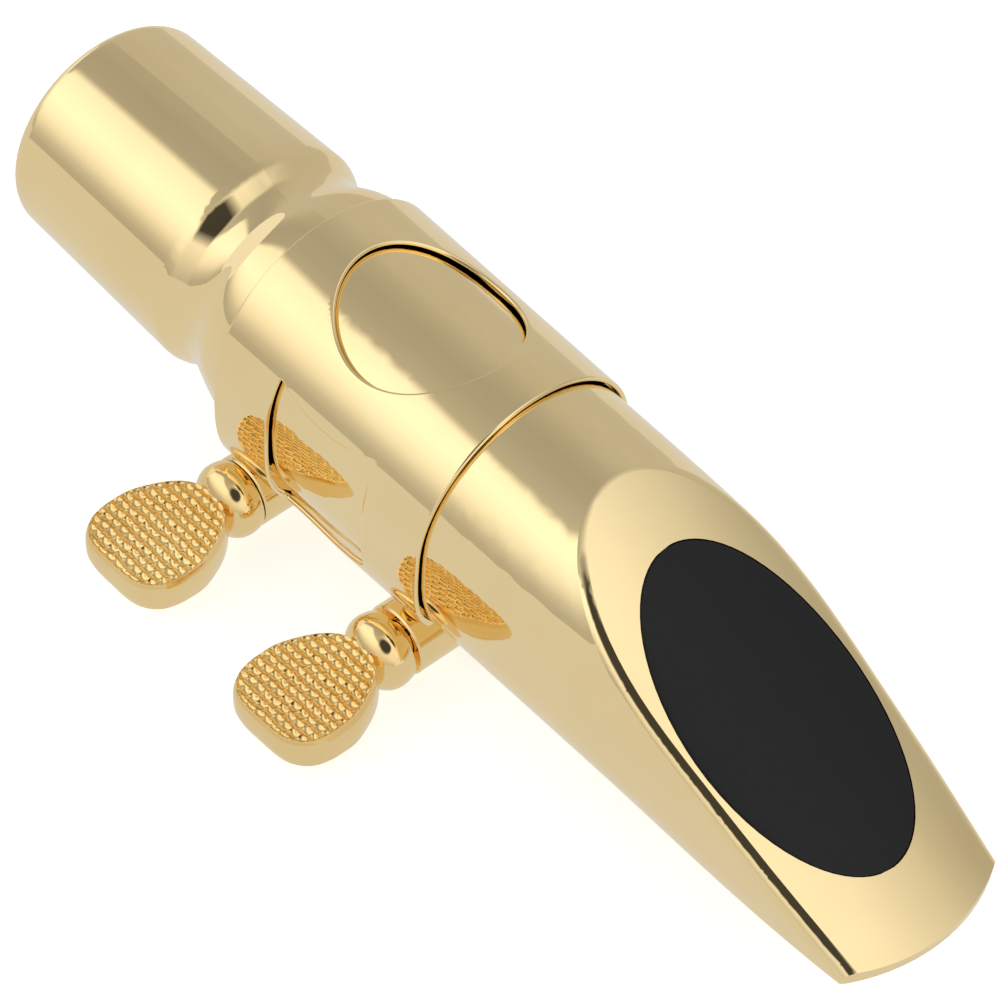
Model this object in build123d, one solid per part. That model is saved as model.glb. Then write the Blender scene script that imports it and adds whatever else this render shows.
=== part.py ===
from build123d import *
import math
import os

# Metal alto saxophone mouthpiece with its two-screw sheet-metal ligature.
# Millimetres. Origin: centre of the mouth of the neck bore. +X runs along the bore
# towards the tip, +Z is the beak side, and the thumbscrew heads are on the -Y side.

# ---- mouthpiece: outside ----
SHANK_R_MOUTH = 9.6        # shank radius at the neck end
SHANK_R_SHOULDER = 10.05   # shank radius where the shoulder starts
SHOULDER_X = 18.6
WAIST_X = 21.4
WAIST_R = 9.10
MOUTH_ROUNDING = 1.4
FLARE_MID = (24.2, 9.95)   # x, radius of a point on the flare
FLARE_END = (26.8, 10.40)  # the flare ends here, at the body's full radius
COLLAR_END = (30.0, 9.30)  # the turned part narrows inside the body and ends here
TIP_X = 94.0
TIP_ARC_R = 15.0           # tip outline seen from above
TIP_SIDE = ((84.0, 8.75), (96.0, 7.72))   # x, y of two points on the sides near the tip
TIP_CORNER_R = 1.5

# Body sections, evenly spaced along the bore: height above the bore axis, half width,
# depth below the axis, superellipse power of the lower half. The first two are inside
# the turned part, so that the body grows out of the flare.
BODY_X0 = 18.0
BODY_STEP = 6.0
BODY_SECTIONS = [
    (8.50, 8.50, 8.50, 2.0),
    (9.60, 9.60, 9.50, 2.6),
    (10.28, 10.28, 9.85, 3.2),
    (10.21, 10.21, 10.06, 3.2),
    (10.12, 10.12, 10.36, 3.2),
    (10.04, 10.04, 10.66, 3.2),
    (9.99, 9.97, 10.80, 3.2),
    (9.96, 9.85, 10.88, 3.2),
    (9.90, 9.58, 11.25, 3.2),
    (9.82, 9.20, 11.95, 3.2),
    (9.74, 8.88, 12.77, 3.2),
    (9.66, 8.60, 13.60, 3.2),
    (9.60, 8.27, 15.00, 3.2),
    (9.60, 7.88, 17.50, 3.2),
]
OUTLINE_POINTS = 32
RIM_MID = 0.29             # share of the rounding at the middle of its arc

# ---- table, facing and ramp ----
TABLE_X0 = 25.2            # heel end of the reed table
TABLE_REF = (28.0, -6.9)   # x, z of a point on the table
TABLE_SLOPE = math.tan(math.radians(2.4))
FACING_LENGTH = 21.2
TIP_OPENING = 2.0
TABLE_RUNOUT_R = 4.0
RAMP_ANGLE = 25.2          # beak ramp below the bore axis, degrees
RAMP_POINT = (76.1, 1.55)  # x, z of a point on the ramp's centre line
RAMP_CROWN_R = 36.0        # the ramp is crowned across
RIDGE_ROUNDING = 1.2
RIDGE_MIN_LENGTH = 20.0    # the ramp's other edge, at the tip end, is shorter

# ---- bore, chamber and window ----
BORE_R = 7.9
BORE_LENGTH = 20.0
THROAT_R = 5.9
THROAT_X = 26.0
THROAT_END = 61.0
WINDOW_HALF_WIDTH = 6.3
WINDOW_X0 = 57.5
TIP_RAIL = 1.1
CEILING_DEPTH = 4.2        # chamber ceiling under the ramp, measured along Z
CEILING_TOP = 5.4
LIP_LENGTH = 8.0           # from here on the ceiling drops to the tip rail
LIP_Z = -8.2
WINDOW_HEEL_REACH = 4.0    # the chamber starts this far behind the window
CUT_Z = -14.0              # below everything

# ---- bite pad ----
PAD_HALF_LENGTH = 13.7
PAD_HALF_WIDTH = 7.67
PAD_THICKNESS = 1.0
PAD_FORWARD = 0.15         # pad centre from RAMP_POINT, down the ramp
PAD_GLUE_GAP = 0.05

# ---- ligature band ----
SHEET = 0.42
BAND_X0 = 27.0
BAND_X1 = 49.7
BAND_TOP_REAR = 10.98
BAND_TOP_FRONT = 10.60
BAND_DEPTH_EXTRA = 0.72    # how much deeper than wide the lower half is
BAND_POWER = 3.2           # superellipse power of the lower half
BAND_FOOT_Z = -10.4        # lower edge of the sheet between the lugs
OVAL_X = 38.5              # top window centre
OVAL_HALF_X = 7.2
OVAL_HALF_Y = 6.98
CUTOUT_X0 = 33.0           # side cut-outs
CUTOUT_X1 = 43.6
CUTOUT_TOP_Z = 4.9
CUTOUT_TOP_SAG = 1.0
CUTOUT_FOOT_REAR = -9.1
CUTOUT_FOOT_FRONT = -6.3

# ---- lugs and thumbscrews ----
SCREW_X = {"rear": 28.7, "front": 46.85}
SCREW_Z = {"rear": -12.2, "front": -12.8}
LUG_R = 3.0
LUG_OUTER_Y = 9.35
LUG_INNER_Y = 5.0
LUG_EDGE = 0.15
SHAFT_R = 1.5
SHAFT_CLEARANCE = 0.05
THREAD_HOLE_CLEARANCE = 0.05
SHAFT_END_Y = 9.1
HEAD_GAP = {"rear": 0.12, "front": 0.50}   # head face to lug face, screws not bottomed
BALL_R = 3.15
BALL_FLAT = 1.1            # flat of the ball towards the lug, from its centre
SHAFT_SOCKET = 1.6         # depth of the shaft's seat in the ball
# Paddle outline: half width, distance from the ball's centre away from the lug.
PADDLE_OUTLINE = [
    (0.9, 1.5),
    (3.25, 3.4),
    (4.2, 4.7),
    (4.8, 6.2),
    (4.95, 8.1),
    (4.65, 10.2),
    (3.8, 11.3),
    (2.3, 11.9),
]
PADDLE_ROOT_THICKNESS = 4.0   # the paddle tapers from the ball to its end
PADDLE_END_THICKNESS = 2.8


def table_z(x):
    return TABLE_REF[1] - TABLE_SLOPE * (x - TABLE_REF[0])


def outline(top, half_width, depth, power):
    """Closed section outline in (y, z): half ellipse above, superellipse below."""
    points = []
    for i in range(OUTLINE_POINTS):
        angle = 2.0 * math.pi * i / OUTLINE_POINTS
        c, s = math.cos(angle), math.sin(angle)
        height, order = (top, 2.0) if s > 0 else (depth, power)
        reach = (abs(c / half_width) ** order + abs(s / height) ** order) ** (-1.0 / order)
        points.append((reach * c, reach * s))
    return points


def section_face(x, points):
    """Face through the outline points, in the plane across the bore at x."""
    wire = Spline([Vector(x, y, z) for y, z in points], periodic=True)
    return make_face(wire)


def make_turned_part():
    """Shank, shoulder, waist and flare, and a cone that ends inside the body."""
    rim = ThreePointArc(
        (0, SHANK_R_MOUTH - MOUTH_ROUNDING),
        (RIM_MID * MOUTH_ROUNDING, SHANK_R_MOUTH - RIM_MID * MOUTH_ROUNDING),
        (MOUTH_ROUNDING, SHANK_R_MOUTH),
    )
    side = Line((MOUTH_ROUNDING, SHANK_R_MOUTH), (SHOULDER_X, SHANK_R_SHOULDER))
    shoulder = Spline(
        (SHOULDER_X, SHANK_R_SHOULDER), (WAIST_X, WAIST_R), tangents=[side % 1, (1, 0)]
    )
    flare = Spline((WAIST_X, WAIST_R), FLARE_MID, FLARE_END, tangents=[(1, 0), (1, 0)])
    collar = Line(FLARE_END, COLLAR_END)
    close = Polyline(COLLAR_END, (COLLAR_END[0], 0), (0, 0), (0, SHANK_R_MOUTH - MOUTH_ROUNDING))
    profile = Plane.XZ * (rim + side + shoulder + flare + collar + close)
    return revolve(make_face(profile), Axis.X)


def make_body_block():
    """Body without its ramp, table or hollows."""
    sections = []
    for index, (top, half_width, depth, power) in enumerate(BODY_SECTIONS):
        x = BODY_X0 + index * BODY_STEP
        sections.append(section_face(x, outline(top, half_width, depth, power)))
    return loft(sections)


def ramp_cylinder(radius):
    """Long cylinder whose top line is the ramp's centre line."""
    x, z = RAMP_POINT
    tilt = math.radians(RAMP_ANGLE)
    along = Vector(math.cos(tilt), 0, -math.sin(tilt))
    normal = Vector(math.sin(tilt), 0, math.cos(tilt))
    centre = Vector(x, 0, z) - normal * RAMP_CROWN_R
    plane = Plane(origin=centre, x_dir=(0, 1, 0), z_dir=along)
    return plane * Cylinder(radius, 400)


def table_cutter():
    """Removes everything under the reed table and the facing curve."""
    break_x = TIP_X - FACING_LENGTH
    facing_r = FACING_LENGTH ** 2 / (2.0 * TIP_OPENING)

    def rise(x):
        return (x - break_x) ** 2 / (2.0 * facing_r)

    end_x = TIP_X + 4.0
    mid_x = 0.5 * (break_x + end_x)
    start = (TABLE_X0, table_z(TABLE_X0))
    runout = CenterArc(
        (TABLE_X0, start[1] - TABLE_RUNOUT_R), TABLE_RUNOUT_R, 90, 88
    )
    low = runout @ 1
    flat = Line(start, (break_x, table_z(break_x)))
    facing = ThreePointArc(
        (break_x, table_z(break_x)),
        (mid_x, table_z(mid_x) + rise(mid_x)),
        (end_x, table_z(end_x) + rise(end_x)),
    )
    close = Polyline(
        (end_x, table_z(end_x) + rise(end_x)), (end_x, -20), (low.X, -20), (low.X, low.Y)
    )
    profile = make_face(Plane.XZ * (runout + flat + facing + close))
    return extrude(profile, amount=15, both=True)


def chamber_cutter():
    """Chamber under the ramp, open to the table as the window."""
    x, z = RAMP_POINT
    slope = math.tan(math.radians(RAMP_ANGLE))
    front_x = TIP_X - TIP_RAIL
    lip_x = front_x - LIP_LENGTH
    lip_z = z - slope * (lip_x - x) - CEILING_DEPTH
    knee_x = x - (CEILING_TOP - z + CEILING_DEPTH) / slope
    heel_x = WINDOW_X0 - WINDOW_HEEL_REACH
    profile = make_face(
        Plane.XZ
        * Polyline(
            (heel_x, CUT_Z),
            (heel_x, CEILING_TOP),
            (knee_x, CEILING_TOP),
            (lip_x, lip_z),
            (front_x, LIP_Z),
            (front_x, CUT_Z),
            (heel_x, CUT_Z),
        )
    )
    slot = extrude(profile, amount=WINDOW_HALF_WIDTH, both=True)
    # The heel end of the window is round seen from below, and so is the tip end.
    heel = Pos(WINDOW_X0 + WINDOW_HALF_WIDTH, 0, 0) * Cylinder(WINDOW_HALF_WIDTH, 40)
    heel += Pos(WINDOW_X0 + WINDOW_HALF_WIDTH + 25, 0, 0) * Box(50, 40, 40)
    tip = Pos(TIP_X - TIP_ARC_R, 0, 0) * Cylinder(TIP_ARC_R - TIP_RAIL, 40)
    tip += Pos(TIP_X - TIP_ARC_R - 25, 0, 0) * Box(50, 40, 40)
    return slot & heel & tip


def bore_cutter():
    bore = Polyline(
        (-1, 0),
        (-1, BORE_R),
        (BORE_LENGTH, BORE_R),
        (THROAT_X, THROAT_R),
        (THROAT_END, THROAT_R),
        (THROAT_END, 0),
        (-1, 0),
    )
    return revolve(make_face(Plane.XZ * bore), Axis.X)


def pad_solid(clearance):
    """Oval plate let into the ramp, following its crown."""
    x, z = RAMP_POINT
    tilt = math.radians(RAMP_ANGLE)
    normal = Vector(math.sin(tilt), 0, math.cos(tilt))
    along = Vector(math.cos(tilt), 0, -math.sin(tilt))
    centre = Vector(x, 0, z) + along * PAD_FORWARD
    plane = Plane(origin=centre - normal * 4, x_dir=along, z_dir=normal)
    oval = plane * Ellipse(PAD_HALF_LENGTH + clearance, PAD_HALF_WIDTH + clearance)
    prism = extrude(oval, amount=8)
    return prism & ramp_cylinder(RAMP_CROWN_R) - ramp_cylinder(RAMP_CROWN_R - PAD_THICKNESS)


def tip_cutter():
    """Everything inside the tip's outline, seen from above."""
    (x0, y0), (x1, y1) = TIP_SIDE
    back = -10.0
    wide = 30.0
    centre_x = TIP_X - TIP_ARC_R
    outline_2d = Pos(centre_x, 0) * Circle(TIP_ARC_R)
    outline_2d += Pos(0.5 * (back + centre_x), 0) * Rectangle(centre_x - back, 2 * TIP_ARC_R)
    outline_2d &= make_face(
        Polyline(
            (back, wide), (x0, wide), (x0, y0), (x1, y1), (x1, -y1), (x0, -y0), (x0, -wide),
            (back, -wide), (back, wide),
        )
    )
    corners = [v for v in outline_2d.vertices() if v.X > x0 + 1]
    return extrude(fillet(corners, TIP_CORNER_R), amount=wide, both=True)


def make_mouthpiece():
    body = make_body_block() & ramp_cylinder(RAMP_CROWN_R)
    ramp = body.faces().filter_by(GeomType.CYLINDER)[0]
    ridge = [edge for edge in ramp.edges() if edge.length > RIDGE_MIN_LENGTH]
    body = fillet(ridge, RIDGE_ROUNDING)
    body += make_turned_part()
    body -= table_cutter()
    body &= tip_cutter()
    body -= bore_cutter()
    body -= chamber_cutter()
    body -= pad_solid(PAD_GLUE_GAP)
    return body


def band_outline(x, inset):
    """Band section at x, moved inwards by inset."""
    share = (x - BAND_X0) / (BAND_X1 - BAND_X0)
    radius = BAND_TOP_REAR + (BAND_TOP_FRONT - BAND_TOP_REAR) * share - inset
    return section_face(x, outline(radius, radius, radius + BAND_DEPTH_EXTRA, BAND_POWER))


def band_loft(inset):
    return loft([band_outline(BAND_X0 - 1, inset), band_outline(BAND_X1 + 1, inset)])


def side_cutout():
    """Cut-out of both sides, an outline in the XZ plane."""
    mid = 0.5 * (CUTOUT_X0 + CUTOUT_X1)
    top = ThreePointArc(
        (CUTOUT_X0, CUTOUT_TOP_Z), (mid, CUTOUT_TOP_Z - CUTOUT_TOP_SAG), (CUTOUT_X1, CUTOUT_TOP_Z)
    )
    sides = Line((CUTOUT_X1, CUTOUT_TOP_Z), (CUTOUT_X1, CUTOUT_FOOT_FRONT))
    foot = ThreePointArc(
        (CUTOUT_X1, CUTOUT_FOOT_FRONT),
        (mid, 0.5 * (CUTOUT_FOOT_FRONT + CUTOUT_FOOT_REAR) - 0.8),
        (CUTOUT_X0, CUTOUT_FOOT_REAR),
    )
    back = Line((CUTOUT_X0, CUTOUT_FOOT_REAR), (CUTOUT_X0, CUTOUT_TOP_Z))
    return extrude(make_face(Plane.XZ * (top + sides + foot + back)), amount=20, both=True)


def make_band():
    band = band_loft(0) - band_loft(SHEET)
    length = BAND_X1 - BAND_X0
    band &= Pos(0.5 * (BAND_X0 + BAND_X1), 0, 20 + BAND_FOOT_Z) * Box(length, 40, 40)
    oval = Pos(OVAL_X, 0, 0) * Ellipse(OVAL_HALF_X, OVAL_HALF_Y)
    band -= extrude(oval, amount=20)
    band -= side_cutout()
    for place, x in SCREW_X.items():
        reach = 2 * (LUG_OUTER_Y + 4)
        band -= Pos(x, 0, SCREW_Z[place]) * Rot(90, 0, 0) * Cylinder(LUG_R, reach)
    return band


def make_lug(place, side, hole_r):
    length = LUG_OUTER_Y - LUG_INNER_Y
    lug = Cylinder(LUG_R, length)
    lug = chamfer(lug.edges(), LUG_EDGE)
    lug -= Cylinder(hole_r, length + 2)
    middle = side * 0.5 * (LUG_OUTER_Y + LUG_INNER_Y)
    return Pos(SCREW_X[place], middle, SCREW_Z[place]) * Rot(90, 0, 0) * lug


def ball_y(place):
    """Y of the ball's centre: the head stands off the lug by its gap."""
    return -(LUG_OUTER_Y + HEAD_GAP[place] + BALL_FLAT)


def make_head(place):
    """Cast thumbscrew head: ball collar and egg-shaped paddle."""
    head = Sphere(BALL_R)
    head -= Pos(0, BALL_FLAT + 5, 0) * Box(10, 10, 10)
    right = Spline([(half, -out) for half, out in PADDLE_OUTLINE])
    left = mirror(right, Plane.YZ)
    (root_half, root_out), (end_half, end_out) = PADDLE_OUTLINE[0], PADDLE_OUTLINE[-1]
    root = Line((-root_half, -root_out), (root_half, -root_out))
    end = Line((end_half, -end_out), (-end_half, -end_out))
    plan = make_face(right + left + root + end)
    root_z, end_z = 0.5 * PADDLE_ROOT_THICKNESS, 0.5 * PADDLE_END_THICKNESS
    corners = [(-root_out, root_z), (-end_out, end_z), (-end_out, -end_z), (-root_out, -root_z)]
    wedge = Plane.YZ * make_face(Polyline(*corners, corners[0]))
    paddle = extrude(plan, amount=root_z, both=True) & extrude(wedge, amount=end_out, both=True)
    head += paddle
    seat = Pos(0, BALL_FLAT - SHAFT_SOCKET / 2, 0) * Rot(90, 0, 0)
    head -= seat * Cylinder(SHAFT_R + SHAFT_CLEARANCE, SHAFT_SOCKET)
    return Pos(SCREW_X[place], ball_y(place), SCREW_Z[place]) * head


def make_shaft(place):
    start = ball_y(place) + BALL_FLAT - SHAFT_SOCKET
    length = SHAFT_END_Y - start
    shaft = Cylinder(SHAFT_R, length)
    shaft = chamfer(shaft.edges(), 0.25)
    middle = start + length / 2
    return Pos(SCREW_X[place], middle, SCREW_Z[place]) * Rot(90, 0, 0) * shaft


os.makedirs("parts", exist_ok=True)
nodes = {
    "mouthpiece_body": make_mouthpiece(),
    "bite_pad": pad_solid(0),
    "ligature_band": make_band(),
}
for place in SCREW_X:
    nodes[place + "_plain_lug"] = make_lug(place, -1, SHAFT_R + SHAFT_CLEARANCE)
    nodes[place + "_threaded_lug"] = make_lug(place, 1, SHAFT_R + THREAD_HOLE_CLEARANCE)
    nodes[place + "_screw_shaft"] = make_shaft(place)
    nodes[place + "_screw_head"] = make_head(place)
for name, solid in nodes.items():
    export_step(solid, "parts/" + name + ".step")
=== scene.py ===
import math

import bmesh
import bpy
import numpy as np
from mathutils import Matrix, Vector
from mathutils.geometry import delaunay_2d_cdt


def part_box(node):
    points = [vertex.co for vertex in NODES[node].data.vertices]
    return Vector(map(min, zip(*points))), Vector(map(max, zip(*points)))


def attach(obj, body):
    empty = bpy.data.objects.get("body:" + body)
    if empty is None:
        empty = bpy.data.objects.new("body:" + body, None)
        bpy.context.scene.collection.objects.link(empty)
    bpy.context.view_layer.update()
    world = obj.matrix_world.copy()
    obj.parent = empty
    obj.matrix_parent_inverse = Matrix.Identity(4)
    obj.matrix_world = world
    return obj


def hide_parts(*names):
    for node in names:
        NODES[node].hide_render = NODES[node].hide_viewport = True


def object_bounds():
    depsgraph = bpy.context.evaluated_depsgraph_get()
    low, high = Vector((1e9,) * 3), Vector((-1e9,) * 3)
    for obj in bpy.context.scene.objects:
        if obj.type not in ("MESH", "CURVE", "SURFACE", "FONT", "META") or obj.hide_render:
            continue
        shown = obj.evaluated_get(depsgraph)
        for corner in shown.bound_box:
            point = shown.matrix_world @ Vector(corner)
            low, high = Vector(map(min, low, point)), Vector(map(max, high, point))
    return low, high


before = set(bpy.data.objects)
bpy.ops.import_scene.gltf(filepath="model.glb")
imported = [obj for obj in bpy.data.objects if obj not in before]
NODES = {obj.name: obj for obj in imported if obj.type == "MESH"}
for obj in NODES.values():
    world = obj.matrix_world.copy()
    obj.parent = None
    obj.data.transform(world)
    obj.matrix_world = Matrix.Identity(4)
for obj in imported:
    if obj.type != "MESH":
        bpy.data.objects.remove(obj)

cad_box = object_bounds()

MM = 0.001


# ---------------------------------------------------------------- materials

# Colours are linear. Noise scales are cells per metre, and ranges are the part of a noise used.
GOLD = (0.955, 0.775, 0.435)
GOLD_DARK = (0.93, 0.735, 0.395)
GOLD_RICH = (0.95, 0.74, 0.38)
GOLD_RICH_DARK = (0.91, 0.67, 0.31)
# The grip's gold is darker and richer than the screw's: painted shade for the deep gold of light
# bouncing in the woven pits.
GRIP_GOLD_PAINTED_SHADE = (0.93, 0.69, 0.31)
GRIP_GOLD_PAINTED_SHADE_DARK = (0.86, 0.58, 0.22)
COLOUR_DRIFT = 90.0
DRIFT_RANGE = (0.35, 0.75)
HAZE = 260.0
HAZE_STRETCH = (1, 3, 3)
HAZE_RANGE = (0.4, 0.8)
RIPPLE = 150.0
BRUSHING = 5200.0
BRUSHING_STRETCH = (0.15, 1, 1)    # the marks run along the mouthpiece
RUBBER = (0.0075, 0.0075, 0.0085)
RUBBER_DUST = (0.16, 0.155, 0.16)
RUBBER_IOR = 1.36
DUST = 420.0
DUST_SIZE = (0.012, 0.03)          # distance, in cells, over which a speck fades out
RUBBER_GRAIN = 1800.0
GRAIN_RANGE = (0.3, 0.7)
RUBBER_ROUGH = (0.36, 0.46)
RUBBER_BUMP = 0.6
RUBBER_BUMP_MM = 0.006


def new_material(name):
    material = bpy.data.materials.new(name)
    material.use_nodes = True
    tree = material.node_tree
    shader = tree.nodes["Principled BSDF"]
    return material, tree, shader


def noise(tree, vector, scale, detail):
    node = tree.nodes.new("ShaderNodeTexNoise")
    node.inputs["Scale"].default_value = scale
    node.inputs["Detail"].default_value = detail
    tree.links.new(vector, node.inputs["Vector"])
    return node.outputs["Fac"]


def remap(tree, value, low, high, out_low, out_high):
    node = tree.nodes.new("ShaderNodeMapRange")
    tree.links.new(value, node.inputs["Value"])
    node.inputs["From Min"].default_value = low
    node.inputs["From Max"].default_value = high
    node.inputs["To Min"].default_value = out_low
    node.inputs["To Max"].default_value = out_high
    return node.outputs["Result"]


def object_coordinates(tree, stretch=(1, 1, 1)):
    coords = tree.nodes.new("ShaderNodeTexCoord")
    mapping = tree.nodes.new("ShaderNodeMapping")
    mapping.inputs["Scale"].default_value = stretch
    tree.links.new(coords.outputs["Object"], mapping.inputs["Vector"])
    return mapping.outputs["Vector"]


def gold(name, color, dark, rough=(0.015, 0.05), wave=0.006, grain=0.0):
    """Gold plate: drifting colour, polishing haze, waves wave mm high and a share of brushing."""
    material, tree, shader = new_material(name)
    link = tree.links.new
    place = object_coordinates(tree)
    shader.inputs["Metallic"].default_value = 1.0
    drift = noise(tree, place, COLOUR_DRIFT, detail=2.0)
    mix = tree.nodes.new("ShaderNodeMix")
    mix.data_type = "RGBA"
    mix.inputs["A"].default_value = (*color, 1)
    mix.inputs["B"].default_value = (*dark, 1)
    link(remap(tree, drift, *DRIFT_RANGE, 0.0, 1.0), mix.inputs["Factor"])
    link(mix.outputs["Result"], shader.inputs["Base Color"])
    haze = noise(tree, object_coordinates(tree, HAZE_STRETCH), HAZE, detail=4.0)
    link(remap(tree, haze, *HAZE_RANGE, *rough), shader.inputs["Roughness"])
    ripple = noise(tree, place, RIPPLE, detail=1.0)
    fine = noise(tree, object_coordinates(tree, BRUSHING_STRETCH), BRUSHING, detail=2.0)
    add = tree.nodes.new("ShaderNodeMath")
    add.operation = "MULTIPLY_ADD"
    link(fine, add.inputs[0])
    add.inputs[1].default_value = grain
    link(ripple, add.inputs[2])
    bump = tree.nodes.new("ShaderNodeBump")
    bump.inputs["Strength"].default_value = 1.0
    bump.inputs["Distance"].default_value = wave * MM
    link(add.outputs["Value"], bump.inputs["Height"])
    link(bump.outputs["Normal"], shader.inputs["Normal"])
    return material


def rubber(name):
    """Satin black bite pad with dust specks."""
    material, tree, shader = new_material(name)
    link = tree.links.new
    place = object_coordinates(tree)
    specks = tree.nodes.new("ShaderNodeTexVoronoi")
    specks.inputs["Scale"].default_value = DUST
    link(place, specks.inputs["Vector"])
    shader.inputs["IOR"].default_value = RUBBER_IOR
    mix = tree.nodes.new("ShaderNodeMix")
    mix.data_type = "RGBA"
    mix.inputs["A"].default_value = (*RUBBER_DUST, 1)
    mix.inputs["B"].default_value = (*RUBBER, 1)
    link(remap(tree, specks.outputs["Distance"], *DUST_SIZE, 0.0, 1.0), mix.inputs["Factor"])
    link(mix.outputs["Result"], shader.inputs["Base Color"])
    skin = noise(tree, place, RUBBER_GRAIN, detail=5.0)
    link(remap(tree, skin, *GRAIN_RANGE, *RUBBER_ROUGH), shader.inputs["Roughness"])
    bump = tree.nodes.new("ShaderNodeBump")
    bump.inputs["Strength"].default_value = RUBBER_BUMP
    bump.inputs["Distance"].default_value = RUBBER_BUMP_MM * MM
    link(skin, bump.inputs["Height"])
    link(bump.outputs["Normal"], shader.inputs["Normal"])
    return material


gold_body = gold("gold_plate_body", GOLD, GOLD_DARK)
gold_band = gold("gold_plate_band", GOLD, GOLD_DARK, rough=(0.02, 0.07), wave=0.010)
gold_lug = gold("gold_plate_lug", GOLD_RICH, GOLD_RICH_DARK, rough=(0.03, 0.09), wave=0.012)
gold_screw = gold(
    "gold_plate_screw", GOLD_RICH, GOLD_RICH_DARK, rough=(0.05, 0.13), wave=0.014, grain=0.3
)
# Grip faces: a rougher cast finish, and a darker, richer gold that is painted shade for the pits'
# bounced light.
grip_gold_painted_shade = gold(
    "gold_plate_grip_painted_shade", GRIP_GOLD_PAINTED_SHADE, GRIP_GOLD_PAINTED_SHADE_DARK, rough=(0.16, 0.28), wave=0.014, grain=0.3
)
pad_rubber = rubber("pad_rubber")

MATERIAL_OF = {
    "mouthpiece_body": gold_body,
    "bite_pad": pad_rubber,
    "ligature_band": gold_band,
}
for node_name, node in NODES.items():
    if node_name.endswith("_lug"):
        chosen = gold_lug
    elif node_name.endswith(("_head", "_shaft")):
        chosen = gold_screw
    else:
        chosen = MATERIAL_OF[node_name]
    node.data.materials.clear()
    node.data.materials.append(chosen)


# ---------------------------------------------------------------- camera

# Solved from the photograph together with the sizes; millimetres.
CAMERA_AT = Vector((172.236, -132.004, 212.125)) * MM
CAMERA_RIGHT = Vector((0.66836, 0.74087, 0.06640))
CAMERA_DOWN = Vector((0.59691, -0.48094, -0.64218))
CAMERA_LENS = 136.04
SENSOR_WIDTH = 36.0
CLIP_NEAR = 0.01
CLIP_FAR = 20.0

forward = CAMERA_RIGHT.cross(CAMERA_DOWN).normalized()
right = CAMERA_RIGHT.normalized()
up = (-forward).cross(right).normalized()
camera_data = bpy.data.cameras.new("camera")
camera = bpy.data.objects.new("camera", camera_data)
bpy.context.scene.collection.objects.link(camera)
rotation = Matrix((right, up, -forward)).transposed()
camera.matrix_world = Matrix.Translation(CAMERA_AT) @ rotation.to_4x4()
camera_data.sensor_width = SENSOR_WIDTH
camera_data.lens = CAMERA_LENS
camera_data.clip_start = CLIP_NEAR
camera_data.clip_end = CLIP_FAR
camera_data.dof.use_dof = False
bpy.context.scene.camera = camera


# ---------------------------------------------------------------- floor and light

FLOOR_GAP = 0.0002
FLOOR_Z = cad_box[0].z - FLOOR_GAP
FLOOR_SIDE = 3.0
FLOOR_PAPER = (0.93, 0.93, 0.93)
FLOOR_GLOW = 0.62          # keeps the paper white in the picture
FLOOR_IN_GOLD = 0.73       # floor brightness as the gold mirrors it
FLOOR_IN_GOLD_TINT = (1.0, 0.985, 0.965)
WORLD_LIGHT = 0.95
TENT_TINT = (1.0, 0.985, 0.96)
TENT_R = 0.30
TENT_X = (-0.75, 0.85)
TENT_STEPS = 48
LENS_CARD = (0.196, -32.0)       # dark camera card: x in metres, degrees round the bore axis
LENS_CARD_HALF = (0.150, 27.0)
LENS_CARD_FADE = (0.55, 1.25)    # squared distance, in half sizes, where it starts and ends to fade
LENS_CARD_LEVEL = 0.06
CURVE_TOP = 1.5                  # brightest level that curve() can hold


def stage_mesh(name, points, faces, material):
    mesh = bpy.data.meshes.new(name)
    mesh.from_pydata(points, [], faces)
    mesh.materials.append(material)
    thing = bpy.data.objects.new(name, mesh)
    bpy.context.scene.collection.objects.link(thing)
    return thing


def math_node(tree, operation, first, second):
    node = tree.nodes.new("ShaderNodeMath")
    node.operation = operation
    for socket, value in zip(node.inputs, (first, second)):
        if isinstance(value, (int, float)):
            socket.default_value = value
        else:
            tree.links.new(value, socket)
    return node.outputs["Value"]


def curve(tree, value, points, top=CURVE_TOP):
    """Piecewise linear function of value through the points."""
    low, high = points[0][0], points[-1][0]
    ramp = tree.nodes.new("ShaderNodeValToRGB")
    tree.links.new(remap(tree, value, low, high, 0.0, 1.0), ramp.inputs["Fac"])
    while len(ramp.color_ramp.elements) < len(points):
        ramp.color_ramp.elements.new(0.5)
    for element, (place, level) in zip(ramp.color_ramp.elements, points):
        element.position = (place - low) / (high - low)
        element.color = (level / top, level / top, level / top, 1)
    return math_node(tree, "MULTIPLY", ramp.outputs["Color"], top)


def blend_values(tree, first, second, share):
    node = tree.nodes.new("ShaderNodeMix")
    tree.links.new(share, node.inputs["Factor"])
    tree.links.new(first, node.inputs["A"])
    tree.links.new(second, node.inputs["B"])
    return node.outputs["Result"]


# Brightness of the tent round the bore axis: degrees from straight up, towards +Y.
TENT_KEY = [
    (-95, 0.50), (-88, 0.52), (-80, 0.66), (-70, 0.96), (-58, 1.22), (-45, 1.34), (-30, 1.24),
    (0, 1.00), (95, 0.8),
]
TENT_DIM = [
    (-95, 0.50), (-40, 0.60), (-18, 0.50), (-4, 0.45), (12, 0.43), (26, 0.47), (40, 0.55),
    (60, 0.58), (80, 0.57), (95, 0.60),
]
TENT_FRONT = [
    (-95, 0.60), (-60, 1.00), (-20, 1.05), (5, 1.12), (18, 1.02), (30, 0.86), (40, 0.74),
    (48, 0.60), (56, 0.50), (66, 0.46), (80, 0.52), (95, 0.60),
]
KEY_EDGE = [   # x in metres, angle where the key panel ends
    (-0.75, -16.0), (-0.445, -16.0), (-0.17, -13.0), (-0.118, -22.0), (-0.063, -33.0),
    (0.02, -42.0), (0.85, -42.0),
]
EDGE_SHIFT = 90.0          # makes the angles of KEY_EDGE positive, as curve() needs
EDGE_BLUR = 5.0            # degrees on each side of the edge
FRONT_BLEND = (0.0, 0.14)  # x in metres, from the rear levels to the front ones


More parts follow.
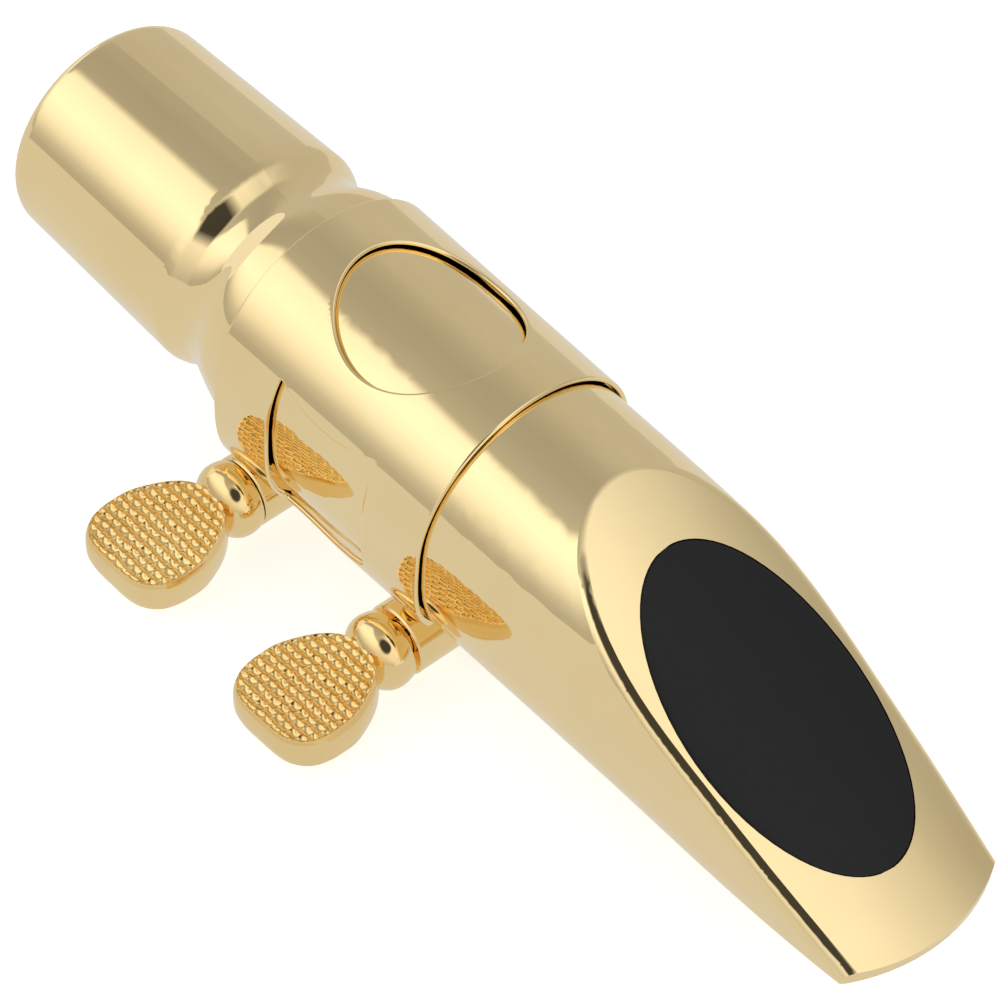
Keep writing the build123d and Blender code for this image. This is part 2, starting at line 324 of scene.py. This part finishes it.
def smooth_step(tree, value, low, high):
    node = tree.nodes.new("ShaderNodeMapRange")
    node.interpolation_type = "SMOOTHSTEP"
    tree.links.new(value, node.inputs["Value"])
    node.inputs["From Min"].default_value = low
    node.inputs["From Max"].default_value = high
    return node.outputs["Result"]


def tent_material():
    """Glowing cloth: a bright key panel, a dimmer far side, a front, and the dark camera card."""
    material = bpy.data.materials.new("tent_cloth")
    material.use_nodes = True
    tree = material.node_tree
    tree.nodes.clear()
    where = tree.nodes.new("ShaderNodeNewGeometry")
    split = tree.nodes.new("ShaderNodeSeparateXYZ")
    tree.links.new(where.outputs["Position"], split.inputs["Vector"])
    along, side, height = split.outputs
    angle = math_node(tree, "MULTIPLY", math_node(tree, "ARCTAN2", side, height), 180 / math.pi)
    key = curve(tree, angle, TENT_KEY)
    dim = curve(tree, angle, TENT_DIM)
    front = curve(tree, angle, TENT_FRONT)
    edge = curve(tree, along, [(x, a + EDGE_SHIFT) for x, a in KEY_EDGE], EDGE_SHIFT)
    over = math_node(tree, "SUBTRACT", math_node(tree, "ADD", angle, EDGE_SHIFT), edge)
    rear = blend_values(tree, key, dim, smooth_step(tree, over, -EDGE_BLUR, EDGE_BLUR))
    level = blend_values(tree, rear, front, smooth_step(tree, along, *FRONT_BLEND))
    squares = []
    for value, centre, half in zip((along, angle), LENS_CARD, LENS_CARD_HALF):
        offset = math_node(tree, "DIVIDE", math_node(tree, "SUBTRACT", value, centre), half)
        squares.append(math_node(tree, "MULTIPLY", offset, offset))
    reach = math_node(tree, "ADD", *squares)
    card = remap(tree, reach, *LENS_CARD_FADE, LENS_CARD_LEVEL, 1.0)
    emit = tree.nodes.new("ShaderNodeEmission")
    emit.inputs["Color"].default_value = (*TENT_TINT, 1)
    tree.links.new(math_node(tree, "MULTIPLY", level, card), emit.inputs["Strength"])
    out = tree.nodes.new("ShaderNodeOutputMaterial")
    tree.links.new(emit.outputs["Emission"], out.inputs["Surface"])
    return material


def floor_paper():
    """Pale paper: white to the camera, a plain light grey as the gold mirrors it."""
    material = bpy.data.materials.new("floor_paper")
    material.use_nodes = True
    tree = material.node_tree
    tree.nodes.clear()
    paper = tree.nodes.new("ShaderNodeBsdfDiffuse")
    paper.inputs["Color"].default_value = (*FLOOR_PAPER, 1)
    glow = tree.nodes.new("ShaderNodeEmission")
    glow.inputs["Strength"].default_value = FLOOR_GLOW
    lit = tree.nodes.new("ShaderNodeAddShader")
    tree.links.new(paper.outputs["BSDF"], lit.inputs[0])
    tree.links.new(glow.outputs["Emission"], lit.inputs[1])
    grey = tree.nodes.new("ShaderNodeEmission")
    grey.inputs["Color"].default_value = (*FLOOR_IN_GOLD_TINT, 1)
    grey.inputs["Strength"].default_value = FLOOR_IN_GOLD
    path = tree.nodes.new("ShaderNodeLightPath")
    mix = tree.nodes.new("ShaderNodeMixShader")
    tree.links.new(path.outputs["Is Camera Ray"], mix.inputs["Fac"])
    tree.links.new(grey.outputs["Emission"], mix.inputs[1])
    tree.links.new(lit.outputs["Shader"], mix.inputs[2])
    out = tree.nodes.new("ShaderNodeOutputMaterial")
    tree.links.new(mix.outputs["Shader"], out.inputs["Surface"])
    return material


stage_mesh(
    "floor",
    [(x, y, FLOOR_Z) for x, y in ((-FLOOR_SIDE, -FLOOR_SIDE), (FLOOR_SIDE, -FLOOR_SIDE),
                                  (FLOOR_SIDE, FLOOR_SIDE), (-FLOOR_SIDE, FLOOR_SIDE))],
    [(0, 1, 2, 3)],
    floor_paper(),
)
half_turn = math.acos(FLOOR_Z / TENT_R)
tent_points = []
for step in range(TENT_STEPS + 1):
    turn = half_turn * (2.0 * step / TENT_STEPS - 1.0)
    for x in TENT_X:
        tent_points.append((x, TENT_R * math.sin(turn), TENT_R * math.cos(turn)))
tent_faces = [(2 * k, 2 * k + 1, 2 * k + 3, 2 * k + 2) for k in range(TENT_STEPS)]
tent = stage_mesh("light_tent", tent_points, tent_faces, tent_material())
tent.visible_camera = False

scene = bpy.context.scene
scene.view_settings.view_transform = "Standard"
world = bpy.data.worlds.new("studio")
scene.world = world
world.use_nodes = True
background = world.node_tree.nodes["Background"]
background.inputs["Color"].default_value = (1, 1, 1, 1)
background.inputs["Strength"].default_value = WORLD_LIGHT


# ---------------------------------------------------------------- thumbscrew heads and rods

# Millimetres from here on. The heads are made about the ball's centre, the screw along Y.
BALL_R = 3.15
BALL_BACK = 2.3            # reach of the ball on the paddle's side, where it is flatter
BALL_FACE = 1.1            # distance of the ball's flat, towards the lug
BALL_STEPS = 96
BALL_RINGS = 40
FACE_EDGE = [(0.14, 0.0), (0.05, 0.02)]    # rounding of the flat's rim: inwards, back
FACE_END = 0.08            # how far behind the flat the ball's own curve starts
SEAT_R = 1.56
SEAT_DEPTH = 1.6
SEAT_CENTRE_R = 0.6
SEAT_EDGE = 0.02
PADDLE_OUTLINE = [         # half width, distance from the ball's centre
    (0.0, 1.45), (1.3, 1.60), (2.4, 2.12), (3.45, 3.25), (4.28, 4.75), (4.82, 6.2), (4.95, 7.6),
    (4.90, 8.9), (4.60, 10.1), (3.95, 11.0), (3.0, 11.6), (1.9, 11.84), (0.9, 11.89), (0.0, 11.89),
]
OUTLINE_STEPS = 12         # curve steps between two of the outline's points
PADDLE_ROOT_HALF = 2.0     # half thickness at the ball
PADDLE_END_HALF = 1.38     # half thickness at the far end
PADDLE_DRAFT = 0.26        # how much smaller the faces are than the middle of the wall
DRAFT_POWER = 3            # the wall turns in towards the faces late
PADDLE_CENTRE = 7.2        # middle of the paddle's rings, from the ball's centre
RIM_POINTS = 420
RIM_RINGS = 90
WALL_RINGS = 14
ROW_PITCH = 0.80           # raised rows of the woven grip
BAR_PITCH = 0.92           # short bars between the rows
WEAVE_DEPTH = 0.24         # the pits' depth below the raised rows
PIT_SQUARENESS = 0.7       # power of the sines: lower makes flatter pits and thinner rows
BAR_DROP = 0.38            # how far the bars lie below the rows, as a share of the depth
ROW_SWAY = [(0.05, 1.9, 0.7), (-0.03, 2.3, -4.1)]    # size, radians per mm in x and outwards
ROW_STEP = 0.06
BAR_SWAY = 0.05
BAR_SWAY_RATE = 3.0
DEPTH_SWAY = (0.12, 1.3, 2.1)    # share of the depth, radians per mm in x and outwards
RIM_DROP = 0.06            # the rim lies this far below the raised rows
RIM_FADE = 0.25            # the grip dies out this close to the rim
GRIP_NORMAL = 0.2          # mesh faces with a steeper normal than this, and farther from the middle than this, take the grip's rougher finish and its darker gold (painted shade)
GRIP_Z = 1.0               # the middle than this, take the grip's duller finish
HEAD_TURN = {"rear": -2.0, "front": -4.5}    # how each head has come to rest, degrees
ROD_R = 1.48
ROD_STEPS = 40
ROD_RING_PITCH = 0.06
ROD_CHAMFER = 0.3
THREAD_PITCH = 0.7
THREAD_DEPTH = 0.30
THREAD_CLIP = (0.1, 0.9)   # the V's crest and root are cut off here
THREAD_START = 4.6         # length of the plain end before the thread
THREAD_RUN_IN = 0.7
SHARP = 35.0               # edges steeper than this, in degrees, stay sharp
SHARP_HEAD = 38.0
SHARP_PAD = 50.0
SHARP_ROD = 60.0
SHARP_BAND = 60.0


def catmull(points, steps):
    """Smooth curve through the points."""
    points = np.array(points, float)
    padded = np.vstack([2 * points[0] - points[1], points, 2 * points[-1] - points[-2]])
    rows = []
    for k in range(len(points) - 1):
        p0, p1, p2, p3 = padded[k:k + 4]
        for t in np.arange(steps) / steps:
            rows.append(0.5 * (2 * p1 + (p2 - p0) * t + (2 * p0 - 5 * p1 + 4 * p2 - p3) * t**2
                               + (3 * p1 - p0 - 3 * p2 + p3) * t**3))
    rows.append(points[-1])
    return np.array(rows)


def resample(points, count):
    """Evenly spaced points along a closed polyline."""
    closed = np.vstack([points, points[:1]])
    reach = np.concatenate([[0], np.cumsum(np.linalg.norm(np.diff(closed, axis=0), axis=1))])
    wanted = np.linspace(0, reach[-1], count, endpoint=False)
    return np.column_stack([np.interp(wanted, reach, closed[:, i]) for i in (0, 1)])


def ring_mesh(rings, cap_first, cap_last):
    """Vertices and faces of rings of equal length, joined in order, with centre points as caps."""
    count = len(rings[0])
    points = [tuple(p) for ring in rings for p in ring]
    faces = []
    for r in range(len(rings) - 1):
        for i in range(count):
            j = (i + 1) % count
            low, high = r * count, (r + 1) * count
            faces.append((low + i, low + j, high + j, high + i))
    for cap, start, flip in ((cap_first, 0, True), (cap_last, (len(rings) - 1) * count, False)):
        centre = len(points)
        points.append(tuple(cap))
        for i in range(count):
            j = (i + 1) % count
            face = (start + i, start + j, centre)
            faces.append(face[::-1] if flip else face)
    return points, faces


def make_object(name, points, faces, material, sharp=SHARP):
    mesh = bpy.data.meshes.new(name)
    mesh.from_pydata([tuple(MM * c for c in p) for p in points], [], faces)
    mesh.materials.append(material)
    mesh.update()
    thing = bpy.data.objects.new(name, mesh)
    bpy.context.scene.collection.objects.link(thing)
    smooth(mesh, sharp)
    return thing


def smooth(mesh, sharp):
    mesh.polygons.foreach_set("use_smooth", [True] * len(mesh.polygons))
    mesh.set_sharp_from_angle(angle=math.radians(sharp))
    mesh.update()


def lathe(profile, steps):
    """Profile of (radius, y) turned round the Y axis, closed at both ends."""
    turns = 2 * np.pi * np.arange(steps) / steps
    rings = []
    for radius, y in profile:
        rings.append([(radius * math.sin(t), y, radius * math.cos(t)) for t in turns])
    return ring_mesh(rings, (0, profile[0][1], 0), (0, profile[-1][1], 0))


def weave(x, out):
    """Depth of the cast woven grip, 0 on the raised rows."""
    wobble = sum(size * np.sin(in_x * x + in_out * out) for size, in_x, in_out in ROW_SWAY)
    row = (out + wobble) / ROW_PITCH
    index = np.floor(row)
    step = ROW_STEP * np.sin(2 * np.pi * x / BAR_PITCH + np.pi * index)
    off_row = np.abs(np.sin(np.pi * (row + step))) ** PIT_SQUARENESS
    sway = BAR_SWAY * np.sin(BAR_SWAY_RATE * out + index)
    bar_at = x / BAR_PITCH + sway + 0.5 * (index % 2)
    off_bar = np.abs(np.sin(np.pi * bar_at)) ** PIT_SQUARENESS
    uneven = 1.0 + DEPTH_SWAY[0] * np.sin(DEPTH_SWAY[1] * x + DEPTH_SWAY[2] * out)
    return -WEAVE_DEPTH * uneven * off_row * (BAR_DROP + (1.0 - BAR_DROP) * off_bar)


def paddle_half(y):
    """Half thickness of the paddle at y from the ball's centre."""
    root, end = PADDLE_OUTLINE[0][1], PADDLE_OUTLINE[-1][1]
    share = np.clip((-y - root) / (end - root), 0, 1)
    return PADDLE_ROOT_HALF + (PADDLE_END_HALF - PADDLE_ROOT_HALF) * share


def paddle_mesh():
    """Egg-shaped paddle with a woven grip on both faces and a drafted wall."""
    side = catmull(PADDLE_OUTLINE, OUTLINE_STEPS)
    left = side[1:-1][::-1] * [-1, 1]
    outline = resample(np.vstack([side, left]), RIM_POINTS)
    x, y = outline[:, 0], -outline[:, 1]
    cy = -PADDLE_CENTRE
    length = np.hypot(x, y - cy)
    face = 1.0 - PADDLE_DRAFT / length
    shares = np.arange(1, RIM_RINGS + 1) / RIM_RINGS
    top, wall = [], []
    for share in shares:
        px, py = x * face * share, cy + (y - cy) * face * share
        from_rim = length * face * (1.0 - share)
        fade = np.clip(from_rim / RIM_FADE, 0, 1)
        fade = fade * fade * (3 - 2 * fade)
        depth = weave(px, -py) * fade - RIM_DROP * (1 - fade)
        top.append(np.column_stack([px, py, paddle_half(py) + depth]))
    for k in range(1, WALL_RINGS):
        level = math.cos(math.pi * k / WALL_RINGS)
        pull = 1.0 - PADDLE_DRAFT * abs(level) ** DRAFT_POWER / length
        py = cy + (y - cy) * pull
        wall.append(np.column_stack([x * pull, py, (paddle_half(py) - 2 * RIM_DROP) * level]))
    bottom = [ring * [1, 1, -1] for ring in top[::-1]]
    lift = float(paddle_half(cy) + weave(0.0, -cy))
    return ring_mesh(top + wall + bottom, (0, cy, lift), (0, cy, -lift))


def ball_mesh():
    """Ball collar with a flat face and the hole in which the rod sits."""
    face_r = math.sqrt(BALL_R**2 - BALL_FACE**2)
    floor_y = BALL_FACE - SEAT_DEPTH
    profile = [(SEAT_CENTRE_R, floor_y), (SEAT_R - SEAT_EDGE, floor_y),
               (SEAT_R, floor_y + SEAT_EDGE), (SEAT_R, BALL_FACE - SEAT_EDGE),
               (SEAT_R + SEAT_EDGE, BALL_FACE)]
    profile += [(face_r - inwards, BALL_FACE - back) for inwards, back in FACE_EDGE]
    start = math.asin((BALL_FACE - FACE_END) / BALL_R)
    for k in range(BALL_RINGS):
        turn = start - (start + math.pi / 2) * k / BALL_RINGS
        reach = BALL_R if turn > 0 else BALL_BACK
        profile.append((BALL_R * math.cos(turn), reach * math.sin(turn)))
    return lathe(profile, BALL_STEPS)


def outward(thing):
    """Faces turned outwards, so that booleans work."""
    work = bmesh.new()
    work.from_mesh(thing.data)
    bmesh.ops.recalc_face_normals(work, faces=work.faces)
    work.to_mesh(thing.data)
    work.free()


def union(base, other):
    """base joined with other into one closed mesh."""
    modifier = base.modifiers.new("join", "BOOLEAN")
    modifier.operation = "UNION"
    modifier.solver = "EXACT"
    modifier.object = other
    graph = bpy.context.evaluated_depsgraph_get()
    joined = bpy.data.meshes.new_from_object(base.evaluated_get(graph))
    base.modifiers.clear()
    old = base.data
    base.data = joined
    bpy.data.meshes.remove(old)
    bpy.data.objects.remove(other)


def middle_of(node):
    """Middle, lowest and highest corner of a CAD node's box."""
    low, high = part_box(node)
    return (low + high) / 2, low, high


ball = make_object("ball", *ball_mesh(), gold_screw)
paddle = make_object("paddle", *paddle_mesh(), gold_screw)
for part in (ball, paddle):
    outward(part)
    part.data.materials.append(grip_gold_painted_shade)
# The grip faces get the darker gold of painted shade, and a rougher finish.
for face in paddle.data.polygons:
    face.material_index = int(abs(face.normal.z) > GRIP_NORMAL and abs(face.center.z) > GRIP_Z * MM)
union(ball, paddle)
head_mesh = ball.data
bpy.data.objects.remove(ball)
smooth(head_mesh, SHARP_HEAD)

for place, turn in HEAD_TURN.items():
    centre, low, high = middle_of(place + "_screw_head")
    shift = Vector((centre.x, high.y - BALL_FACE * MM, centre.z))
    data = head_mesh.copy()
    data.transform(Matrix.Translation(shift) @ Matrix.Rotation(math.radians(turn), 4, "Y"))
    data.name = place + "_thumbscrew"
    head = bpy.data.objects.new(place + "_thumbscrew", data)
    scene.collection.objects.link(head)
    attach(head, place + "_thumbscrew")
    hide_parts(place + "_screw_head")


def rod_mesh(low_y, high_y):
    """Rod along Y, plain at its low end, then with a helical V thread; both ends chamfered."""
    turns = 2 * np.pi * np.arange(ROD_STEPS) / ROD_STEPS
    rings = []
    count = int((high_y - low_y) / ROD_RING_PITCH)
    for k in range(count + 1):
        y = low_y + (high_y - low_y) * k / count
        phase = (y / THREAD_PITCH - turns / (2 * np.pi)) % 1.0
        cut = THREAD_DEPTH * (1 - np.abs(2 * phase - 1)).clip(*THREAD_CLIP)
        inset = max(0.0, ROD_CHAMFER - min(y - low_y, high_y - y))
        threaded = np.clip((y - (low_y + THREAD_START)) / THREAD_RUN_IN, 0, 1)
        radius = ROD_R - np.maximum(cut * threaded, inset)
        rings.append(np.column_stack([radius * np.sin(turns), np.full(ROD_STEPS, y),
                                      radius * np.cos(turns)]))
    return ring_mesh(rings, (0, low_y, 0), (0, high_y, 0))


for place in HEAD_TURN:
    centre, low, high = middle_of(place + "_screw_shaft")
    points, faces = rod_mesh(low.y / MM, high.y / MM)
    moved = [(p[0] + centre.x / MM, p[1], p[2] + centre.z / MM) for p in points]
    rod = make_object(place + "_rod", moved, faces, gold_screw, SHARP_ROD)
    outward(rod)
    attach(rod, place + "_shaft")
    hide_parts(place + "_screw_shaft")


# ---------------------------------------------------------------- ligature band

SHEET = 0.42
BAND_X = (27.0, 49.7)
BAND_TOP = (10.98, 10.60)      # radius of the upper half at the two ends
BAND_DEPTH_EXTRA = 0.72        # how much deeper than wide the lower half is
BAND_POWER = 3.2               # superellipse power of the lower half
BAND_FOOT_Z = -10.4            # lower edge of the sheet between the lugs
OVAL_X = 38.5
OVAL_HALF = (7.2, 6.98)
CUTOUT_X = (33.0, 43.6)
CUTOUT_TOP_Z = 4.9
CUTOUT_TOP_SAG = 1.0
CUTOUT_FOOT_Z = (-9.1, -6.3)
CUTOUT_FOOT_SAG = 0.8
LUG_GRIP = 2.92                # the straps end this far from a lug's axis, inside its wall
STRAP_CORNER = 2.2
EDGE_STEPS = 6                 # steps in a quarter of the half-round edge
LOOP_STEP = 0.12
CORNER_BLUR = 9
CORNER_STEPS = 14
FOOT_STEPS = 160
ARC_STEPS = 30
OVAL_STEPS = 400
GIRTH_STEPS = 1200
GRID = 0.30                    # spacing of the mesh points inside the sheet
GRID_CLEAR = 0.4               # their least distance from the edge's mesh, in spacings
MERGE_WITHIN = 1e-7


def band_point(x, turn, inset):
    """Point on the band, turn in radians from the top, inset below its outer face."""
    share = (x - BAND_X[0]) / (BAND_X[1] - BAND_X[0])
    radius = BAND_TOP[0] + (BAND_TOP[1] - BAND_TOP[0]) * share - inset
    lower = np.cos(turn) < 0
    depth = np.where(lower, radius + BAND_DEPTH_EXTRA, radius)
    order = np.where(lower, BAND_POWER, 2.0)
    reach = (np.abs(np.sin(turn) / radius) ** order
             + np.abs(np.cos(turn) / depth) ** order) ** (-1.0 / order)
    return np.column_stack([x, reach * np.sin(turn), reach * np.cos(turn)])


# Distance round the section at mid length, used as the second coordinate of the flat pattern.
TURNS = np.linspace(0.0, math.pi, GIRTH_STEPS)
MID_X = np.full_like(TURNS, 0.5 * (BAND_X[0] + BAND_X[1]))
GIRTH = np.concatenate([[0.0], np.cumsum(np.linalg.norm(
    np.diff(band_point(MID_X, TURNS, 0.0), axis=0), axis=1))])


def girth_at_height(x, z):
    """Distance from the top of the band down one side to height z."""
    points = band_point(np.full_like(TURNS, x), TURNS, 0.5 * SHEET)
    return np.interp(-z, -points[:, 2], GIRTH)


def arc_through(first, middle, last, steps):
    """Parabola through three points of (x, z), as a polyline."""
    t = np.linspace(0, 1, steps)[:, None]
    first, middle, last = (np.array(p, float) for p in (first, middle, last))
    return (first * (1 - t) * (1 - 2 * t) + middle * 4 * t * (1 - t) + last * t * (2 * t - 1))


def even_loop(points, blur):
    """Closed loop with even steps and slightly rounded corners."""
    reach = np.linalg.norm(np.diff(np.vstack([points, points[:1]]), axis=0), axis=1).sum()
    loop = resample(points, int(reach / LOOP_STEP))
    for _ in range(blur):
        loop = 0.25 * np.roll(loop, 1, axis=0) + 0.5 * loop + 0.25 * np.roll(loop, -1, axis=0)
    return loop


def foot_line():
    """Lower edge of one side of the sheet, from rear to front, as (x, z)."""
    turn = np.linspace(0, math.pi / 2, CORNER_STEPS)
    rear = np.column_stack([BAND_X[0] + STRAP_CORNER * (1 - np.sin(turn)),
                            BAND_FOOT_Z + STRAP_CORNER * (1 - np.cos(turn))])[::-1]
    front = np.column_stack([BAND_X[1] - STRAP_CORNER * (1 - np.sin(turn)),
                             BAND_FOOT_Z + STRAP_CORNER * (1 - np.cos(turn))])
    x = np.linspace(rear[-1, 0], front[0, 0], FOOT_STEPS)[1:-1]
    line = np.vstack([rear, np.column_stack([x, np.full_like(x, BAND_FOOT_Z)]), front])
    for place in HEAD_TURN:
        lug = middle_of(place + "_plain_lug")[0] / MM
        drop = np.clip(LUG_GRIP**2 - (line[:, 0] - lug.x) ** 2, 0, None)
        notch = np.where(drop > 0, lug.z + np.sqrt(drop), BAND_FOOT_Z)
        line[:, 1] = np.maximum(line[:, 1], notch)
    return line


def flat_loops():
    """Outline and windows of the flat pattern, as loops of (x, girth)."""
    foot = foot_line()
    side = np.array([[x, girth_at_height(x, z)] for x, z in foot])
    outer = even_loop(np.vstack([side * [1, -1], side[::-1]]), CORNER_BLUR)
    mid = 0.5 * (CUTOUT_X[0] + CUTOUT_X[1])
    top = arc_through((CUTOUT_X[0], CUTOUT_TOP_Z), (mid, CUTOUT_TOP_Z - CUTOUT_TOP_SAG),
                      (CUTOUT_X[1], CUTOUT_TOP_Z), ARC_STEPS)
    low = arc_through((CUTOUT_X[1], CUTOUT_FOOT_Z[1]),
                      (mid, 0.5 * sum(CUTOUT_FOOT_Z) - CUTOUT_FOOT_SAG),
                      (CUTOUT_X[0], CUTOUT_FOOT_Z[0]), ARC_STEPS)
    window = np.array([[x, girth_at_height(x, z)] for x, z in np.vstack([top, low])])
    window = even_loop(window, CORNER_BLUR)
    turn = np.linspace(0, 2 * math.pi, OVAL_STEPS, endpoint=False)
    x = OVAL_X + OVAL_HALF[0] * np.cos(turn)
    side_y = OVAL_HALF[1] * np.sin(turn)
    radius = BAND_TOP[0] - (BAND_TOP[0] - BAND_TOP[1]) * (x - BAND_X[0]) / (BAND_X[1] - BAND_X[0])
    oval = np.column_stack([x, np.arcsin(side_y / radius) * 0.5 * sum(BAND_TOP)])
    return outer, [even_loop(oval, 0), window, window * [1, -1]]


def inward(loop, hole):
    """Unit vectors across the loop, into the sheet."""
    tangent = np.roll(loop, -1, axis=0) - np.roll(loop, 1, axis=0)
    tangent /= np.linalg.norm(tangent, axis=1)[:, None]
    normal = np.column_stack([-tangent[:, 1], tangent[:, 0]])
    area = 0.5 * np.sum(loop[:, 0] * np.roll(loop[:, 1], -1) - loop[:, 1] * np.roll(loop[:, 0], -1))
    return normal * (1 if (area > 0) != hole else -1)


def inside(points, loop):
    """Even-odd test of points against one closed loop."""
    x, y = points[:, 0], points[:, 1]
    result = np.zeros(len(points), bool)
    for (x0, y0), (x1, y1) in zip(loop, np.roll(loop, -1, axis=0)):
        if y0 == y1:
            continue
        crosses = ((y0 > y) != (y1 > y)) & (x < (x1 - x0) * (y - y0) / (y1 - y0) + x0)
        result ^= crosses
    return result


def in_sheet(points, outer, holes):
    """Test of points against the outline less its holes."""
    result = inside(points, outer)
    for hole in holes:
        result &= ~inside(points, hole)
    return result


def band_mesh():
    """Sheet with half-round edges: the flat pattern meshed once, wrapped on both faces."""
    outer, holes = flat_loops()
    loops = [(outer, inward(outer, False))] + [(hole, inward(hole, True)) for hole in holes]
    half = 0.5 * SHEET
    flat = [loop + normal * half for loop, normal in loops]
    deep = [loop + normal * (half + GRID_CLEAR * GRID) for loop, normal in loops]
    low, high = outer.min(axis=0), outer.max(axis=0)
    columns, rows = np.arange(low[0] + GRID, high[0], GRID), np.arange(low[1], high[1], GRID)
    gx, gy = np.meshgrid(columns, rows)
    grid = np.column_stack([gx.ravel(), gy.ravel()])
    grid = grid[in_sheet(grid, deep[0], deep[1:])]
    verts, edges = [], []
    for loop in flat:
        start = len(verts)
        verts += [Vector(p) for p in loop]
        edges += [(start + i, start + (i + 1) % len(loop)) for i in range(len(loop))]
    verts += [Vector(p) for p in grid]
    out_verts, _, out_faces, *_ = delaunay_2d_cdt(verts, edges, [], 0, MERGE_WITHIN)
    pattern = np.array([tuple(v) for v in out_verts])
    centres = np.array([pattern[list(f)].mean(axis=0) for f in out_faces])
    kept = [f for f, keep in zip(out_faces, in_sheet(centres, flat[0], flat[1:])) if keep]

    def wrap(plan, inset):
        turn = np.interp(np.abs(plan[:, 1]), GIRTH, TURNS) * np.sign(plan[:, 1])
        return band_point(plan[:, 0], turn, inset)

    points = [wrap(pattern, 0.0), wrap(pattern, SHEET)]
    count = len(pattern)
    faces = [tuple(f) for f in kept] + [tuple(count + i for i in reversed(f)) for f in kept]
    start, total = 0, 2 * count
    for (loop, normal), rim in zip(loops, flat):
        size = len(loop)
        previous = list(range(start, start + size))
        for k in range(1, 2 * EDGE_STEPS):
            turn = math.pi * k / (2 * EDGE_STEPS)
            plan = loop + normal * half * (1 - math.sin(turn))
            points.append(wrap(plan, half * (1 - math.cos(turn))))
            current = list(range(total, total + size))
            faces += [(previous[i], previous[(i + 1) % size], current[(i + 1) % size], current[i])
                      for i in range(size)]
            previous, total = current, total + size
        last = list(range(count + start, count + start + size))
        faces += [(previous[i], previous[(i + 1) % size], last[(i + 1) % size], last[i])
                  for i in range(size)]
        start += size
    assert len(out_verts) == len(verts)    # else the loops' points are not the pattern's first
    return np.vstack(points), faces


band = make_object("band", *band_mesh(), gold_band, SHARP_BAND)
outward(band)
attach(band, "ligature")
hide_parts("ligature_band")


# ---------------------------------------------------------------- bite pad

PAD_TILT = math.radians(25.2)    # slope of the ramp
PAD_AT = (76.1, 1.55)            # a point of the ramp, as (x, z)
PAD_FORWARD = 0.15               # from there to the pad's middle, down the ramp
PAD_HALF = (13.7, 7.67)
PAD_THICKNESS = 1.0
PAD_CROWN_R = 36.0
PAD_EDGE = 0.16                  # radius of the rounded upper edge
PAD_EDGE_STEPS = 6
PAD_STEPS = 240
PAD_RINGS = 16
PAD_UNDER_EDGE = 0.02
PAD_UNDER_SHARES = (0.97, 0.5)   # rings of the underside


def pad_mesh():
    """Oval rubber plate on the crowned ramp, with a rounded upper edge."""
    along = np.array([math.cos(PAD_TILT), 0, -math.sin(PAD_TILT)])
    normal = np.array([math.sin(PAD_TILT), 0, math.cos(PAD_TILT)])
    centre = np.array([PAD_AT[0], 0, PAD_AT[1]]) + along * PAD_FORWARD
    turns = 2 * np.pi * np.arange(PAD_STEPS) / PAD_STEPS
    rings = []

    def on_ramp(a, y, drop):
        fall = PAD_CROWN_R - np.sqrt(PAD_CROWN_R**2 - y**2) + drop
        return centre + a[:, None] * along + np.outer(y, [0, 1, 0]) - fall[:, None] * normal

    def ring(inset, drop):
        reach = [half - inset for half in PAD_HALF]
        return on_ramp(reach[0] * np.cos(turns), reach[1] * np.sin(turns), drop)

    def shrunk(share, drop=0.0):
        reach = [half - PAD_EDGE for half in PAD_HALF]
        return on_ramp(reach[0] * share * np.cos(turns), reach[1] * share * np.sin(turns), drop)

    for share in np.arange(1, PAD_RINGS) / PAD_RINGS:
        rings.append(shrunk(share))
    for k in range(PAD_EDGE_STEPS + 1):
        turn = 0.5 * math.pi * k / PAD_EDGE_STEPS
        rings.append(ring(PAD_EDGE * (1 - math.sin(turn)), PAD_EDGE * (1 - math.cos(turn))))
    rings.append(ring(0.0, PAD_THICKNESS - PAD_UNDER_EDGE))
    rings += [shrunk(share, PAD_THICKNESS) for share in PAD_UNDER_SHARES]
    return ring_mesh(rings, centre, centre - normal * PAD_THICKNESS)


pad = make_object("rubber_pad", *pad_mesh(), pad_rubber, SHARP_PAD)
outward(pad)
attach(pad, "mouthpiece")
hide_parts("bite_pad")
